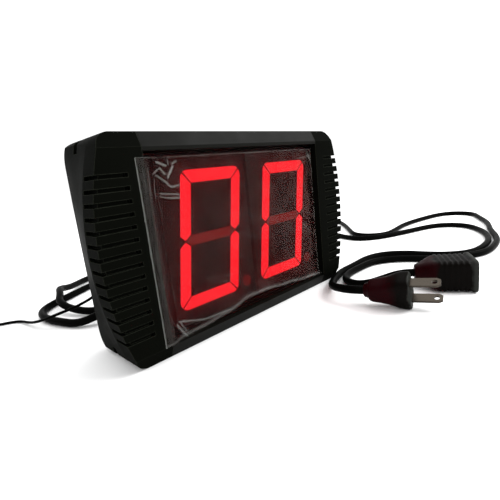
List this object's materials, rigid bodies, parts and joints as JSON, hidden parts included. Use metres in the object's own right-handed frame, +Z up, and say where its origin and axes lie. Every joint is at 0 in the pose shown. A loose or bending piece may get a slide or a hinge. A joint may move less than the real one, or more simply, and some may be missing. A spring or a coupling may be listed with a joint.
{
  "type": "gym round timer",
  "caption": "Two-digit LED gym round timer: black extruded case with ribbed end caps, red window under clear film, mains lead with plug, switched outlet lead and a wired start button",
  "frame": {"origin": "centre of the flat underside of the case", "axes": "+X to the right seen from the front, +Y to the back, +Z up"},
  "size_m": [0.595, 0.3421, 0.115],
  "materials": {
    "case_metal": "satin black coating",
    "cap_plastic": "fine matte grain",
    "screw_steel": "zinc plated",
    "window_acrylic": "dark red tinted acrylic",
    "clear_film": "clear protective film",
    "black_plastic": "moulded",
    "lit_red": "lit diffuser",
    "dark_red": "unlit diffuser",
    "board_green": "solder mask",
    "tinned_metal": "tinned",
    "brass_plated": "turned",
    "relay_blue": "moulded",
    "terminal_green": "moulded",
    "fuse_glass": "clear tube",
    "can_aluminium": "sleeved can",
    "white_plastic": "moulded",
    "black_rubber": "matte",
    "lead_jacket": "satin PVC",
    "blade_metal": "nickel-tinted brass",
    "contact_brass": "stamped",
    "button_red": "moulded"
  },
  "bodies": {
    "timer": {"case_extrusion": "case_metal", "left_end_cap": "cap_plastic", "right_end_cap": "cap_plastic", "cap_screws": "screw_steel", "window_panel": "window_acrylic", "protective_film": "clear_film", "tens_digit_housing": "black_plastic", "units_digit_housing": "black_plastic", "tens_digit_lit_segments": "lit_red", "units_digit_lit_segments": "lit_red", "tens_digit_unlit_segments": "dark_red", "units_digit_unlit_segments": "dark_red", "display_board": "board_green", "digit_pins": "tinned_metal", "main_board": "board_green", "board_standoffs": "brass_plated", "board_screws": "screw_steel", "board_header": "black_plastic", "power_module": "black_plastic", "bell_relay": "relay_blue", "terminal_block": "terminal_green", "fuse_clips": "tinned_metal", "mains_fuse": "fuse_glass", "smoothing_capacitors": "can_aluminium", "buzzer": "black_plastic", "microcontroller": "black_plastic", "crystal": "tinned_metal", "signal_socket": "white_plastic", "segment_drivers": "black_plastic", "mains_lead_relief": "black_rubber", "outlet_lead_relief": "black_rubber", "signal_lead_relief": "black_rubber", "mains_lead": "lead_jacket", "outlet_lead": "lead_jacket", "signal_lead": "lead_jacket", "signal_tail": "lead_jacket", "signal_coil": "lead_jacket", "coil_tie": "black_plastic", "plug_body": "lead_jacket", "plug_blades": "blade_metal", "connector_body": "lead_jacket", "connector_contacts": "contact_brass", "button_box": "black_plastic", "button_box_lid": "black_plastic", "button_box_screws": "screw_steel", "button_relief": "black_rubber", "button_spring": "screw_steel", "button_switch": "black_plastic"},
    "button": {"push_button": "button_red"}
  },
  "joints": [
    {"name": "button_press", "type": "slide", "parent": "timer", "child": "button", "axis": [0, 0, -1], "range_m": [0, 0.0025], "stiffness_N_per_m": 400, "springref_m": -0.003, "deforming": ["button_spring"]}
  ]
}
